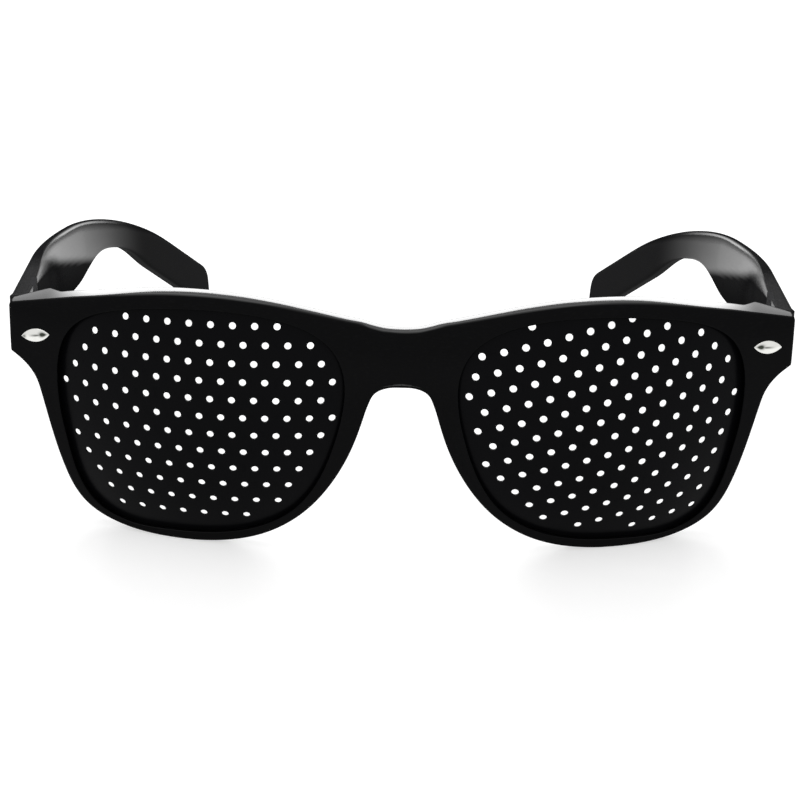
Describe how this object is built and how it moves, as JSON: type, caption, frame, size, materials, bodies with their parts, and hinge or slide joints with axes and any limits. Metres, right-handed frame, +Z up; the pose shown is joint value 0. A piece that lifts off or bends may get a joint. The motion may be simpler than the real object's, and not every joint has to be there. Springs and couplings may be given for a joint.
{
  "type": "pinhole glasses",
  "caption": "Folding glasses with curved black sheets full of pinholes in place of lenses, thick plastic rims, metal corner rivets and hinged temples that bend behind the ear.",
  "frame": {"origin": "on the table, under the middle of the open glasses: half the width, half the depth", "axes": "+X across, to the right as seen from the front; +Y from the front back along the temples; +Z up. The front faces -Y."},
  "size_m": [0.146, 0.128, 0.0508],
  "materials": {
    "frame_plastic": "polished black moulding",
    "temple_plastic": "polished black moulding",
    "sheet_plastic": "black perforated sheet, satin",
    "rivet_metal": "bright plated",
    "hinge_metal": "plain stamped metal",
    "screw_metal": "turned metal"
  },
  "bodies": {
    "front": {"front_frame": "frame_plastic", "left_pinhole_lens": "sheet_plastic", "left_front_rivet": "rivet_metal", "left_front_hinge": "hinge_metal", "left_hinge_screw": "screw_metal", "right_pinhole_lens": "sheet_plastic", "right_front_rivet": "rivet_metal", "right_front_hinge": "hinge_metal", "right_hinge_screw": "screw_metal"},
    "left_temple": {"left_temple": "temple_plastic", "left_temple_hinge": "hinge_metal"},
    "right_temple": {"right_temple": "temple_plastic", "right_temple_hinge": "hinge_metal"}
  },
  "joints": [
    {"name": "left_temple_fold", "type": "hinge", "parent": "front", "child": "left_temple", "pos_m": [-0.0674, -0.04244, 0.03852], "axis": [0, 0.0454, -0.999], "range_deg": [0, 80]},
    {"name": "right_temple_fold", "type": "hinge", "parent": "front", "child": "right_temple", "pos_m": [0.0674, -0.04244, 0.03852], "axis": [0, -0.0454, 0.999], "range_deg": [0, 65]}
  ]
}
